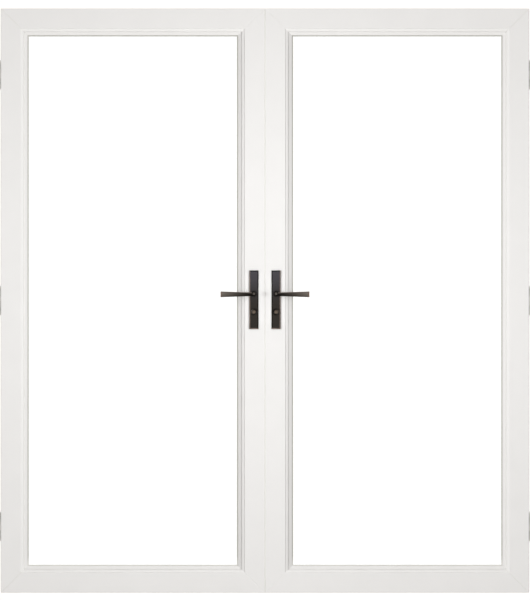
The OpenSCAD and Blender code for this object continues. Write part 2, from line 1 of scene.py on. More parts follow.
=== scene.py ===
# %% [markdown]
# # French doors in white plastic, with dark bronze handles
# The doors are two glazed leaves that meet in the middle. The solids come from the CAD frame, which stays
# where it is. This lesson gives them their finishes, models the handles and the screws by hand, and lights
# the whole like a product photograph on a white ground.

# %% Load the frame and keep its box
import json
import math
import bpy
from mathutils import Matrix, Vector


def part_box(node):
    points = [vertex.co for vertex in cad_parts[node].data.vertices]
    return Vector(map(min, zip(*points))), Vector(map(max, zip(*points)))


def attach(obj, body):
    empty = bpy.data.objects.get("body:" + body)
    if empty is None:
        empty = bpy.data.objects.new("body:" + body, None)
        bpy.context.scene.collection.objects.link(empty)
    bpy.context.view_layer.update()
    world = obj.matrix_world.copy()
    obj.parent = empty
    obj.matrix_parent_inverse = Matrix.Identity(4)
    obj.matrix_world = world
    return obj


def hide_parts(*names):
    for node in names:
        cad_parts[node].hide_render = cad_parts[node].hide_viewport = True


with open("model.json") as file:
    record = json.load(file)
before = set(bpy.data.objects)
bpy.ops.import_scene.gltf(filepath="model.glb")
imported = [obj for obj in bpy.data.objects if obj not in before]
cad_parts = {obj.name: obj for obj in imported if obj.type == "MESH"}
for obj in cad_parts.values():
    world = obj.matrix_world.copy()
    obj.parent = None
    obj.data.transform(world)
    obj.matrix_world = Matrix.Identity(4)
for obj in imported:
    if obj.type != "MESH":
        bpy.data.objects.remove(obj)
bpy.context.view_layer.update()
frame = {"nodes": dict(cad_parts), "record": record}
nodes = frame["nodes"]
MM = 0.001
SIDES = (("left", 1), ("right", -1))

# %% [markdown]
# ## The camera
# The doors are seen square on. The camera stands far away with a long lens, so the stiles stay parallel. The
# scale is set at the leaves' front face: the picture is 600 pixels high and one pixel there is 3.481 mm.
# The lens follows from the distance, which is how a real camera is framed too. The camera is raised by less
# than a pixel, to set the leaves where they stand in the photograph.

# %% Place the camera
PIXEL_MM = 3.481
PICTURE_HIGH = 600
DISTANCE = 40.0
leaf_low, leaf_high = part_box("top_rail_left")
leaf_front = leaf_low.y
leaf_middle = (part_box("bottom_rail_left")[0].z + leaf_high.z) / 2
RAISED = 2.2 * MM
camera_data = bpy.data.cameras.new("photo_camera")
camera_data.sensor_fit = "AUTO"
camera_data.sensor_width = 36
camera_data.lens = camera_data.sensor_width * DISTANCE / (PICTURE_HIGH * PIXEL_MM * MM)
camera_data.clip_end = 200
camera = bpy.data.objects.new("photo_camera", camera_data)
camera.location = (0, leaf_front - DISTANCE, leaf_middle + RAISED)
camera.rotation_euler = (math.radians(90), 0, 0)
bpy.context.scene.collection.objects.link(camera)
bpy.context.scene.camera = camera
bpy.context.scene.view_settings.view_transform = "Standard"
print("lens", round(camera_data.lens, 1), "mm, height", round(leaf_middle, 3), "m")

# %% [markdown]
# ## Nodes and colours
# Every finish is a small tree of nodes. One function adds a node with its settings, its values and its
# links, and one turns a colour as it is picked on screen into the linear numbers that the shader works with.

# %% Two helpers for the finishes
def add(tree, kind, values=None, links=None, **settings):
    node = tree.nodes.new(kind)
    for name, value in settings.items():
        setattr(node, name, value)
    for name, value in (values or {}).items():
        node.inputs[name].default_value = value
    for name, source in (links or {}).items():
        tree.links.new(source, node.inputs[name])
    return node


def linear(hex_colour):
    parts = [int(hex_colour[i:i + 2], 16) / 255 for i in (1, 3, 5)]
    return [p / 12.92 if p <= 0.04045 else ((p + 0.055) / 1.055) ** 2.4 for p in parts] + [1.0]


print("helpers ready")

# %% [markdown]
# ## Ground and surroundings
# The photograph is a cut-out on pure white. A wide pale floor and a bright surrounding give that ground, and
# both glow by themselves. They glow by one amount for what the camera sees, by a little more for what it sees
# through the panes, which take some of the light, and by much less for the light they give to the doors. A
# photographer does the same: the paper behind an object is lit apart from the object, so that it turns pure
# white without flooding the scene.

# %% Pale floor and bright surroundings
SEEN_WHITE = 1.08
THROUGH_GLASS = 1.24
GIVEN_WHITE = 0.50
PAPER = "#FFFCF8"
FLOOR_WIDE, FLOOR_BELOW = 200, 0.5 * MM

world = bpy.data.worlds.new("white_studio")
bpy.context.scene.world = world
paper = bpy.data.materials.new("white_paper_floor")
for owner, glow, output in ((world, "ShaderNodeBackground", "ShaderNodeOutputWorld"),
                            (paper, "ShaderNodeEmission", "ShaderNodeOutputMaterial")):
    owner.use_nodes = True
    tree = owner.node_tree
    tree.nodes.clear()
    path = add(tree, "ShaderNodeLightPath")
    seen = add(tree, "ShaderNodeMath", {1: SEEN_WHITE - GIVEN_WHITE, 2: GIVEN_WHITE},
               {0: path.outputs["Is Camera Ray"]}, operation="MULTIPLY_ADD")
    strength = add(tree, "ShaderNodeMath", {1: THROUGH_GLASS - GIVEN_WHITE},
                   {0: path.outputs["Is Transmission Ray"], 2: seen.outputs[0]}, operation="MULTIPLY_ADD")
    light = add(tree, glow, {"Color": linear(PAPER)}, {"Strength": strength.outputs[0]})
    add(tree, output, links={"Surface": light.outputs[0]})

bpy.ops.object.select_all(action="DESELECT")
bpy.ops.mesh.primitive_plane_add(size=FLOOR_WIDE, location=(0, 0, -FLOOR_BELOW))
floor = bpy.context.object
floor.name = "floor"
floor.data.materials.append(paper)
print("ground shows at", SEEN_WHITE, "and lights at", GIVEN_WHITE)

# %% [markdown]
# ## Lamps
# Only one leaf was photographed; the other is its mirror image. So in the picture the light reaches each leaf
# from beyond the meeting line, and each leaf gets its own large lamp, far off to the other side, that lights
# that leaf's pieces only. A low, wide lamp in the middle brightens both leaves at half their height, and a
# small near one the meeting stiles above the handles. A weak one leaves a soft glint on the metal, and one
# behind the doors lights the inner side. All but the glint are kept out of the reflections, as a photographer
# does by standing a lamp just outside the angle in which it glares.

# %% Soft lamps in the middle
LAMP = "#FDFEFF"


def soft_lamp(name, watts, wide, tall, place, aim, pieces=None, shaded_by=None, glare=False):
    """A soft box, placed and aimed from the leaves' middle, for everything or for some pieces alone."""
    lamp_data = bpy.data.lights.new(name, "AREA")
    lamp_data.shape = "RECTANGLE"
    lamp_data.size, lamp_data.size_y = wide, tall
    lamp_data.energy = watts
    lamp_data.color = linear(LAMP)[:3]
    lamp = bpy.data.objects.new(name, lamp_data)
    middle = Vector((0, leaf_front, leaf_middle))
    lamp.location = middle + Vector(place)
    lamp.rotation_euler = (Vector(aim) - Vector(place)).to_track_quat("-Z", "Y").to_euler()
    lamp.visible_camera = False
    lamp.visible_transmission = False
    lamp.visible_glossy = glare
    if pieces:
        lamp.light_linking.receiver_collection = pieces
    if shaded_by:
        lamp.light_linking.blocker_collection = shaded_by
    bpy.context.scene.collection.objects.link(lamp)
    print(name, watts, "W at", [round(c, 2) for c in lamp.location])


soft_lamp("middle_lamp", 10, 3.0, 0.8, (0, -1.6, 0.07), (0, 0, 0.07))
soft_lamp("stile_lamp", 0.42, 0.5, 0.5, (0, -0.9, 0.25), (0, 0, 0.25))
soft_lamp("glint_lamp", 2, 1.2, 1.2, (0, -2.3, 0.2), (0, 0, 0.2), glare=True)
soft_lamp("back_lamp", 40, 2.6, 2.0, (0, 3.0, 0.25), (0, 0, 0.25))

# %% [markdown]
# The hinges stand in the narrow gap beside the leaf, where its edge would leave them in deep shade. They get
# a lamp in the same place as their leaf's, which only the hinges themselves can shade.

# %% A far lamp for each leaf and its hinges
LEAF_WATTS, LEAF_LAMP = 1405, 3.0
LAMP_BESIDE, LAMP_BEFORE = 10.4, 15
lit_by, hinges = {}, {}
for side, sign in SIDES:
    lit_by[side] = bpy.data.collections.new(f"lit_from_beyond_the_{side}_leaf")
    hinges[side] = bpy.data.collections.new(f"{side}_hinges")
    place = (sign * LAMP_BESIDE, -LAMP_BEFORE, 0)
    soft_lamp(f"{side}_leaf_lamp", LEAF_WATTS, LEAF_LAMP, LEAF_LAMP, place, (0, 0, 0), lit_by[side])
    soft_lamp(f"{side}_hinge_lamp", LEAF_WATTS, LEAF_LAMP, LEAF_LAMP, place, (0, 0, 0), hinges[side],
              shaded_by=hinges[side])
for name, obj in nodes.items():
    side = "right" if name.endswith("right") else "left"
    group = hinges if name.startswith(("hinge_leaf", "hinge_frame", "hinge_pins")) else lit_by
    group[side].objects.link(obj)

# %% [markdown]
# ## White plastic of the bars
# Window bars are extruded from white PVC, cut at 45 degrees and welded. The surface is satin: it has faint
# lines along the bar from the die, a very slight unevenness of tone, and no grain. A noise that is stretched
# along the bar draws the die lines. The real ones are a few tenths of a millimetre apart, too fine to show,
# so they are drawn about 4 mm apart. Stiles and rails run in different directions, so there are two versions.

# %% [markdown]
# At each corner the bars are cut at 45 degrees and melted together, and the weld is scraped flat. That leaves
# a shallow line, and beside the hinges, where no hand wipes it, it holds a little dust. It lies where the
# distances from the leaf's side and from its end are equal, so a few sums on the coordinates find it. Inside
# their flat face the mouldings of the rails are painted a shade whiter, the upper ones most: painted light.
# On the hinge stiles the hollow is painted whiter, as painted light, and the step beside the seal a shade
# greyer, as painted shade.

# %% Extruded white PVC
PVC_DARK, PVC_LIGHT = "#EBEAE9", "#F0EFEE"
PAINTED_LIGHT_WHITE, PAINTED_SHADE_GREY, WELD_DUST = "#FAF9F7", "#E4E3E2", "#EBEAE8"
DIE_LINE = 4 * MM
DIE_LINE_LONG = 1000 * DIE_LINE
CLOUD = 90 * MM
SOFT_EDGE = 1 * MM
WELD_LINE = 2.8 * MM
FLAT = 68 * MM
HOLLOW, HOLLOW_HALF = 81.5 * MM, 2.5 * MM
STEP, STEP_HALF = 88.2 * MM, 4.2 * MM
hinge_edge = -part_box("hinge_stile_left")[0].x
meeting_edge = -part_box("meeting_stile_left")[1].x
leaf_centre = (hinge_edge + meeting_edge) / 2
leaf_half_wide = (hinge_edge - meeting_edge) / 2
leaf_half_tall = leaf_high.z - leaf_middle


def white_pvc(name, along, upper, lower, stile):
    """Plastic with die lines along one axis. The shares say how much painted light whitens the mouldings of
    the upper and the lower rails, and how much painted light and painted shade the hollow and the step of the
    hinge stiles get."""
    mat = bpy.data.materials.new(name)
    mat.use_nodes = True
    tree = mat.node_tree
    shader = tree.nodes["Principled BSDF"]
    shader.inputs["IOR"].default_value = 1.53
    where = add(tree, "ShaderNodeTexCoord").outputs["Object"]
    stretch = [1 / DIE_LINE] * 3
    stretch[along] = 1 / DIE_LINE_LONG
    lines_at = add(tree, "ShaderNodeMapping", {"Scale": stretch}, {"Vector": where})
    lines = add(tree, "ShaderNodeTexNoise", {"Scale": 1, "Detail": 2}, {"Vector": lines_at.outputs[0]})
    cloud = add(tree, "ShaderNodeTexNoise", {"Scale": 1 / CLOUD, "Detail": 3}, {"Vector": where})
    tone = add(tree, "ShaderNodeMix", {6: linear(PVC_DARK), 7: linear(PVC_LIGHT)}, {0: cloud.outputs["Fac"]},
               data_type="RGBA")
    gloss = add(tree, "ShaderNodeMapRange", {"To Min": 0.30, "To Max": 0.42}, {"Value": lines.outputs["Fac"]})
    relief = add(tree, "ShaderNodeBump", {"Strength": 0.04, "Distance": 0.1 * MM},
                 {"Height": lines.outputs["Fac"]})
    # How far a point lies from the leaf's middle, sideways and up or down
    split = add(tree, "ShaderNodeSeparateXYZ", links={0: where})
    mirrored = add(tree, "ShaderNodeMath", links={0: split.outputs["X"]}, operation="ABSOLUTE")
    beside = add(tree, "ShaderNodeMath", {1: leaf_centre}, {0: mirrored.outputs[0]}, operation="SUBTRACT")
    beside = add(tree, "ShaderNodeMath", links={0: beside.outputs[0]}, operation="ABSOLUTE")
    above = add(tree, "ShaderNodeMath", {1: leaf_middle}, {0: split.outputs["Z"]}, operation="SUBTRACT")
    above = add(tree, "ShaderNodeMath", links={0: above.outputs[0]}, operation="ABSOLUTE")
    # Dust in the weld, on the hinge side alone
    apart = add(tree, "ShaderNodeMath", links={0: above.outputs[0], 1: beside.outputs[0]},
                operation="SUBTRACT")
    weld = add(tree, "ShaderNodeMath", {1: leaf_half_tall - leaf_half_wide, 2: WELD_LINE},
               {0: apart.outputs[0]}, operation="COMPARE")
    hinge_side = add(tree, "ShaderNodeMath", {1: leaf_centre}, {0: mirrored.outputs[0]},
                     operation="GREATER_THAN")
    seen = add(tree, "ShaderNodeMath", links={0: weld.outputs[0], 1: hinge_side.outputs[0]},
               operation="MULTIPLY")
    # Painted light: whiter mouldings of the rails, inside their flat face
    painted_lighting = add(tree, "ShaderNodeMapRange",
                 {"From Min": leaf_middle - SOFT_EDGE, "From Max": leaf_middle + SOFT_EDGE,
                  "To Min": lower, "To Max": upper}, {"Value": split.outputs["Z"]})
    flat_edge = leaf_half_tall - FLAT
    inwards = add(tree, "ShaderNodeMapRange",
                  {"From Min": flat_edge - SOFT_EDGE, "From Max": flat_edge, "To Max": 0},
                  {"Value": above.outputs[0], "To Min": painted_lighting.outputs[0]})
    # Painted light in the hollow and painted shade on the step of the hinge stiles
    inside = add(tree, "ShaderNodeMath", {0: hinge_edge}, {1: mirrored.outputs[0]}, operation="SUBTRACT")
    hollow = add(tree, "ShaderNodeMath", {1: HOLLOW, 2: HOLLOW_HALF}, {0: inside.outputs[0]},
                 operation="COMPARE")
    step = add(tree, "ShaderNodeMath", {1: STEP, 2: STEP_HALF}, {0: inside.outputs[0]},
               operation="COMPARE")
    painted_light_share = add(tree, "ShaderNodeMath", {1: stile}, {0: hollow.outputs[0], 2: inwards.outputs[0]},
                 operation="MULTIPLY_ADD")
    painted_shade_share = add(tree, "ShaderNodeMath", {1: stile}, {0: step.outputs[0]}, operation="MULTIPLY")
    painted_tone = add(tree, "ShaderNodeMix", {7: linear(PAINTED_LIGHT_WHITE)}, {0: painted_light_share.outputs[0], 6: tone.outputs[2]},
                data_type="RGBA")
    painted_tone = add(tree, "ShaderNodeMix", {7: linear(PAINTED_SHADE_GREY)}, {0: painted_shade_share.outputs[0], 6: painted_tone.outputs[2]},
                data_type="RGBA")
    dusty = add(tree, "ShaderNodeMix", {7: linear(WELD_DUST)}, {0: seen.outputs[0], 6: painted_tone.outputs[2]},
                data_type="RGBA")
    tree.links.new(dusty.outputs[2], shader.inputs["Base Color"])
    tree.links.new(gloss.outputs[0], shader.inputs["Roughness"])
    tree.links.new(relief.outputs[0], shader.inputs["Normal"])
    return mat


pvc_upright = white_pvc("extruded_white_pvc_upright", along=2, upper=0.0, lower=0.0, stile=0.6)
pvc_level = white_pvc("extruded_white_pvc_level", along=0, upper=0.4, lower=0.2, stile=0.0)
print(pvc_upright.name, pvc_level.name)

# %% [markdown]
# ## Rubber, glass and small parts
# The glazing seals are soft grey rubber, dull with a fine powdery bloom. The glass is clear float glass with
# a trace of green in its thickness. The spacer between the panes is drawn aluminium. The bolts and the lock
# are zinc-plated steel with its cloudy crystal pattern, the hinges are steel with a white powder coat, and
# the blocks under the glass are moulded black plastic.

# %% One builder for the dull and plated finishes
RELIEF_DEEP = 0.05 * MM


def speckled(name, dark, light, grain, rough, metal=0.0, ior=None, relief=0.0):
    """Two tones mixed by grains of a size in millimetres, which also vary the gloss and the relief."""
    mat = bpy.data.materials.new(name)
    mat.use_nodes = True
    tree = mat.node_tree
    shader = tree.nodes["Principled BSDF"]
    shader.inputs["Metallic"].default_value = metal
    if ior:
        shader.inputs["IOR"].default_value = ior
    where = add(tree, "ShaderNodeTexCoord").outputs["Object"]
    grains = add(tree, "ShaderNodeTexNoise", {"Scale": 1 / (grain * MM), "Detail": 4, "Roughness": 0.6},
                 {"Vector": where})
    tone = add(tree, "ShaderNodeMix", {6: linear(dark), 7: linear(light)}, {0: grains.outputs["Fac"]},
               data_type="RGBA")
    gloss = add(tree, "ShaderNodeMapRange", {"To Min": rough[0], "To Max": rough[1]},
                {"Value": grains.outputs["Fac"]})
    tree.links.new(tone.outputs[2], shader.inputs["Base Color"])
    tree.links.new(gloss.outputs[0], shader.inputs["Roughness"])
    if relief:
        bump = add(tree, "ShaderNodeBump", {"Strength": relief, "Distance": RELIEF_DEEP},
                   {"Height": grains.outputs["Fac"]})
        tree.links.new(bump.outputs[0], shader.inputs["Normal"])
    return mat


# Matt rubber with a slight bloom
grey_rubber = speckled("grey_epdm_rubber", "#AEADA7", "#C2C1BB", 2.5, (0.62, 0.8), ior=1.52, relief=0.2)
# The same rubber in white, for the seal between the leaves
white_rubber = speckled("white_epdm_rubber", "#DDDCD8", "#E8E7E3", 2.5, (0.55, 0.7), ior=1.52, relief=0.2)
# Powder coat: white, with a fine orange-peel
white_coat = speckled("white_powder_coat", "#E6E4E1", "#EEECE9", 1.5, (0.32, 0.45), ior=1.5, relief=0.3)
# Plated steel: pale grey metal with cloudy patches
zinc = speckled("zinc_plated_steel", "#9FA2A6", "#C6C8CA", 6, (0.28, 0.5), metal=1.0)
# Drawn aluminium: even, pale and slightly dull
aluminium = speckled("drawn_aluminium", "#B9BBBD", "#D2D3D4", 3, (0.3, 0.42), metal=1.0)
# Moulded polypropylene: near black, dull
black_plastic = speckled("black_polypropylene", "#1C1C1E", "#2A2A2C", 2, (0.45, 0.6), ior=1.49, relief=0.2)
print("dull and plated finishes ready")

# %% [markdown]
# The seal under the glass lies level and faces up, so it is painted paler than the others: painted light from
# above.

# %% Painted light on the lower seals
LOWER_SEAL_PALE, PALE_MOST = "#E2E1DD", 0.75
PALE_FROM, PALE_TO = 130 * MM, 100 * MM
tree = grey_rubber.node_tree
shader = tree.nodes["Principled BSDF"]
where = add(tree, "ShaderNodeTexCoord").outputs["Object"]
height = add(tree, "ShaderNodeSeparateXYZ", links={0: where}).outputs["Z"]
painted_light_below = add(tree, "ShaderNodeMapRange", {"From Min": PALE_FROM, "From Max": PALE_TO, "To Max": PALE_MOST},
              {"Value": height})
lit_seal = add(tree, "ShaderNodeMix", {7: linear(LOWER_SEAL_PALE)},
             {0: painted_light_below.outputs[0], 6: shader.inputs["Base Color"].links[0].from_socket}, data_type="RGBA")
tree.links.new(lit_seal.outputs[2], shader.inputs["Base Color"])
print("dust below", round(PALE_FROM / MM), "mm")

# %% Clear float glass
WIPE_MARK, HAZE = 40 * MM, 0.02
glass = bpy.data.materials.new("clear_float_glass")
glass.use_nodes = True
tree = glass.node_tree
shader = tree.nodes["Principled BSDF"]
shader.inputs["IOR"].default_value = 1.52
shader.inputs["Transmission Weight"].default_value = 1.0
where = add(tree, "ShaderNodeTexCoord").outputs["Object"]
# Dust and wiping marks a few centimetres long, so faint that they only soften a reflection
wipe = add(tree, "ShaderNodeTexNoise", {"Scale": 1 / WIPE_MARK, "Detail": 3}, {"Vector": where})
haze = add(tree, "ShaderNodeMapRange", {"To Min": 0.0, "To Max": HAZE}, {"Value": wipe.outputs["Fac"]})
tint = add(tree, "ShaderNodeMix", {6: linear("#F9FBFC"), 7: linear("#FBFCFD")}, {0: wipe.outputs["Fac"]},
           data_type="RGBA")
tree.links.new(haze.outputs[0], shader.inputs["Roughness"])
tree.links.new(tint.outputs[2], shader.inputs["Base Color"])
print(glass.name)

# %% [markdown]
# ## Oil-rubbed bronze of the handles
# The handles are cast, then darkened chemically and rubbed with oil. The flat faces stay almost black-brown
# with soft lighter clouds, and wherever hands rub an edge the patina is gone and copper shows. The dark face
# and the copper edge are two finishes. On the levers and thumbturns the bevel that breaks each edge takes the
# second one; on the plates the pale and dark edges are painted by their place, as wear with a painted sheen
# and as painted shade.

# %% Dark bronze: clouds over a patina that turns paler in one direction
PATINA_CLOUD, CAST_GRAIN = 12 * MM, 0.8 * MM
PALER_CURVE = 1.7
PLATE_SHEEN_FROM = 70


def dark_bronze(name, deep, pale, start, end, axis):
    """The patina goes from deep at start to pale at end, both in millimetres along an axis."""
    mat = bpy.data.materials.new(name)
    mat.use_nodes = True
    tree = mat.node_tree
    shader = tree.nodes["Principled BSDF"]
    shader.inputs["Metallic"].default_value = 1.0
    where = add(tree, "ShaderNodeTexCoord", name="where").outputs["Object"]
    clouds = add(tree, "ShaderNodeTexNoise", {"Scale": 1 / PATINA_CLOUD, "Detail": 6, "Roughness": 0.6},
                 {"Vector": where}, name="clouds")
    sand = add(tree, "ShaderNodeTexNoise", {"Scale": 1 / CAST_GRAIN, "Detail": 2}, {"Vector": where})
    split = add(tree, "ShaderNodeSeparateXYZ", links={0: where})
    across = add(tree, "ShaderNodeMath", links={0: split.outputs["X"]}, operation="ABSOLUTE", name="across")
    along = across.outputs[0] if axis == "X" else split.outputs[axis]
    paler_along = add(tree, "ShaderNodeMapRange", {"From Min": start * MM, "From Max": end * MM}, {"Value": along},
                 interpolation_type="LINEAR" if axis == "X" else "SMOOTHSTEP")
    paler_along = add(tree, "ShaderNodeMath", {1: PALER_CURVE if axis == "X" else 1.0}, {0: paler_along.outputs[0]},
                 operation="POWER")
    patina = add(tree, "ShaderNodeMix", {6: linear(deep), 7: linear(pale)}, {0: paler_along.outputs[0]},
                 data_type="RGBA")
    cloudy = add(tree, "ShaderNodeMapRange", {"To Min": 0.82, "To Max": 1.18},
                 {"Value": clouds.outputs["Fac"]})
    tone = add(tree, "ShaderNodeMix", {0: 1.0}, {6: patina.outputs[2], 7: cloudy.outputs[0]},
               data_type="RGBA", blend_type="MULTIPLY", name="tone")
    gloss = add(tree, "ShaderNodeMapRange", {"To Min": 0.30, "To Max": 0.46},
                {"Value": clouds.outputs["Fac"]})
    relief = add(tree, "ShaderNodeBump", {"Strength": 0.15, "Distance": RELIEF_DEEP},
                 {"Height": sand.outputs["Fac"]})
    tree.links.new(tone.outputs[2], shader.inputs["Base Color"])
    tree.links.new(gloss.outputs[0], shader.inputs["Roughness"])
    tree.links.new(relief.outputs[0], shader.inputs["Normal"])
    return mat


plate_low, plate_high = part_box("outer_plate_left")
# On the plates the patina turns paler towards the top: a painted sheen.
plate_bronze = dark_bronze("oil_rubbed_bronze_plate", "#423E3B", "#5C5A60",
                           plate_low.z / MM + PLATE_SHEEN_FROM, plate_high.z / MM, "Z")
lever_bronze = dark_bronze("oil_rubbed_bronze_lever", "#1E1B1A", "#857D76", 38, 153, "X")
# The hub's face turns paler towards the meeting line: painted light on one side.
hub_bronze = dark_bronze("oil_rubbed_bronze_hub", "#706A66", "#5F5A56", 30, 46, "X")
# The cylinder's ring is near black, darkest towards the meeting line: painted shade.
shaded_ring_bronze = dark_bronze("bronze_ring_painted_shade", "#0E0C0C", "#5E5854", 30, 48, "X")
print(plate_bronze.name, lever_bronze.name, hub_bronze.name, shaded_ring_bronze.name)

# %% [markdown]
# The plates get a pale band along the edge away from the meeting line and along the lower one: wear, and a
# painted sheen where the bevel catches light. Along the other two edges they are darker: painted shade. Both
# are painted by their distance from the plate's middle, broken up by the same clouds, on top of the patina
# made above.

# %% Pale and dark edges of the plates: wear, painted sheen and painted shade
EDGE_FROM, EDGE_FULL = 4.4, 2
COPPER_DARK, COPPER_LIGHT = "#6B4B3C", "#95694F"
PALE_WEAR_AND_SHEEN = "#B8A59B"
PLATE_BEVEL = 3 * MM
door_mid = (plate_low.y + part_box("inner_plate_left")[1].y) / 2
bevel_foot = door_mid - plate_low.y - PLATE_BEVEL
plate_mid = (plate_low + plate_high) / 2
half_wide = (plate_high.x - plate_low.x) / 2 / MM
half_tall = (plate_high.z - plate_low.z) / 2 / MM
tree = plate_bronze.node_tree
from_line = add(tree, "ShaderNodeMath", {1: -plate_mid.x}, {0: tree.nodes["across"].outputs[0]},
                operation="SUBTRACT")
height = add(tree, "ShaderNodeSeparateXYZ", links={0: tree.nodes["where"].outputs["Object"]}).outputs["Z"]
from_middle = add(tree, "ShaderNodeMath", {1: plate_mid.z}, {0: height}, operation="SUBTRACT")
bands = {}
for band, value, reach, way in (("outer", from_line, half_wide, 1), ("inner", from_line, half_wide, -1),
                                ("upper", from_middle, half_tall, 1), ("lower", from_middle, half_tall, -1)):
    bands[band] = add(tree, "ShaderNodeMapRange", {"From Min": way * (reach - EDGE_FROM) * MM,
                                                   "From Max": way * (reach - EDGE_FULL) * MM},
                      {"Value": value.outputs[0]}, interpolation_type="SMOOTHSTEP")
wear_and_sheen = add(tree, "ShaderNodeMath", links={0: bands["outer"].outputs[0], 1: bands["lower"].outputs[0]},
           operation="MAXIMUM")
painted_shade = add(tree, "ShaderNodeMath", links={0: bands["inner"].outputs[0], 1: bands["upper"].outputs[0]},
           operation="MAXIMUM")
print("plate", round(2 * half_wide, 1), "by", round(2 * half_tall, 1), "mm")

# %% [markdown]
# A dark ring is painted round the place where the lever's neck and the key cylinder stand on the plate:
# painted shade. The ring is painted by its distance from the axis.

# %% Painted shade round the neck and the cylinder
SHADE_DARK, SHADE_MOST = "#100E0E", 0.85
SHADE_REACH = 3.5 * MM
SHADE_RING_R = {"spindle_left": 8 * MM, "cylinder_plug_left": 9.8 * MM}
spot = add(tree, "ShaderNodeCombineXYZ", links={"X": tree.nodes["across"].outputs[0], "Z": height})
for axis_node, radius in SHADE_RING_R.items():
    low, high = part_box(axis_node)
    centre = (low + high) / 2
    away = add(tree, "ShaderNodeVectorMath", {1: (-centre.x, 0, centre.z)}, {0: spot.outputs[0]},
               operation="DISTANCE")
    shade_ring = add(tree, "ShaderNodeMapRange", {"From Min": radius, "From Max": radius + SHADE_REACH,
                                            "To Min": SHADE_MOST, "To Max": 0},
               {"Value": away.outputs["Value"]})
    painted_shade = add(tree, "ShaderNodeMath", links={0: painted_shade.outputs[0], 1: shade_ring.outputs[0]}, operation="MAXIMUM")
print("oil rings", [round(r / MM, 1) for r in SHADE_RING_R.values()], "mm in radius")

# %% Wear and painted sheen on the bevel, and both over the patina
patchy = add(tree, "ShaderNodeMapRange", {"From Min": 0.35, "From Max": 0.6, "To Min": 0.42, "To Max": 0.78},
             {"Value": tree.nodes["clouds"].outputs["Fac"]})
wear_and_sheen = add(tree, "ShaderNodeMath", links={0: wear_and_sheen.outputs[0], 1: patchy.outputs[0]}, operation="MULTIPLY")
depth = add(tree, "ShaderNodeSeparateXYZ", links={0: tree.nodes["where"].outputs["Object"]}).outputs["Y"]
depth = add(tree, "ShaderNodeMath", {1: door_mid}, {0: depth}, operation="SUBTRACT")
depth = add(tree, "ShaderNodeMath", links={0: depth.outputs[0]}, operation="ABSOLUTE")
proud = add(tree, "ShaderNodeMapRange", {"From Min": bevel_foot - PLATE_BEVEL, "From Max": bevel_foot},
            {"Value": depth.outputs[0]}, interpolation_type="SMOOTHSTEP")
wear_and_sheen = add(tree, "ShaderNodeMath", links={0: wear_and_sheen.outputs[0], 1: proud.outputs[0]}, operation="MULTIPLY")
# The dark bands and the rings round the neck and cylinder are painted shade.
dark = add(tree, "ShaderNodeMix", {7: linear(SHADE_DARK)},
           {0: painted_shade.outputs[0], 6: tree.nodes["tone"].outputs[2]}, data_type="RGBA")
edged = add(tree, "ShaderNodeMix", {7: linear(PALE_WEAR_AND_SHEEN)}, {0: wear_and_sheen.outputs[0], 6: dark.outputs[2]},
            data_type="RGBA")
tree.links.new(edged.outputs[2], tree.nodes["Principled BSDF"].inputs["Base Color"])
print("bevel begins", round(bevel_foot / MM, 1), "mm from the door's middle")

# %% [markdown]
# The plastic round the handles is painted a shade whiter: painted light where the plates and levers cast
# shade.

# %% Painted light on the plastic round the handles
HANDLE_PAINTED_WHITE = "#FAF9F8"
HANDLE_LIGHT_BESIDE, HANDLE_LIGHT_ABOVE, HANDLE_LIGHT_WITHIN = 26 * MM, 14 * MM, 36 * MM
tree = pvc_upright.node_tree
shader = tree.nodes["Principled BSDF"]
split = add(tree, "ShaderNodeSeparateXYZ", links={0: add(tree, "ShaderNodeTexCoord").outputs["Object"]})
across = add(tree, "ShaderNodeMath", links={0: split.outputs["X"]}, operation="ABSOLUTE")
fades = []
for value, middle, start, end in (
        (across.outputs[0], -plate_mid.x, half_wide * MM, half_wide * MM + HANDLE_LIGHT_BESIDE),
        (split.outputs["Z"], plate_mid.z, half_tall * MM - HANDLE_LIGHT_WITHIN, half_tall * MM + HANDLE_LIGHT_ABOVE)):
    off = add(tree, "ShaderNodeMath", {1: middle}, {0: value}, operation="SUBTRACT")
    off = add(tree, "ShaderNodeMath", links={0: off.outputs[0]}, operation="ABSOLUTE")
    fade = add(tree, "ShaderNodeMapRange", {"From Min": start, "From Max": end, "To Min": 1, "To Max": 0},
               {"Value": off.outputs[0]}, interpolation_type="SMOOTHSTEP")
    fades.append(fade.outputs[0])
painted_light = add(tree, "ShaderNodeMath", links={0: fades[0], 1: fades[1]}, operation="MULTIPLY")
painted_tone = add(tree, "ShaderNodeMix", {7: linear(HANDLE_PAINTED_WHITE)},
            {0: painted_light.outputs[0], 6: shader.inputs["Base Color"].links[0].from_socket}, data_type="RGBA")
tree.links.new(painted_tone.outputs[2], shader.inputs["Base Color"])
print("wiped for", round(HANDLE_LIGHT_BESIDE / MM), "mm beside each plate")

# %% [markdown]
# The edge of a palm rubs the tip of a lever, so the last few millimetres are worn to copper. The bar is also
# painted paler above than below: painted light from above.

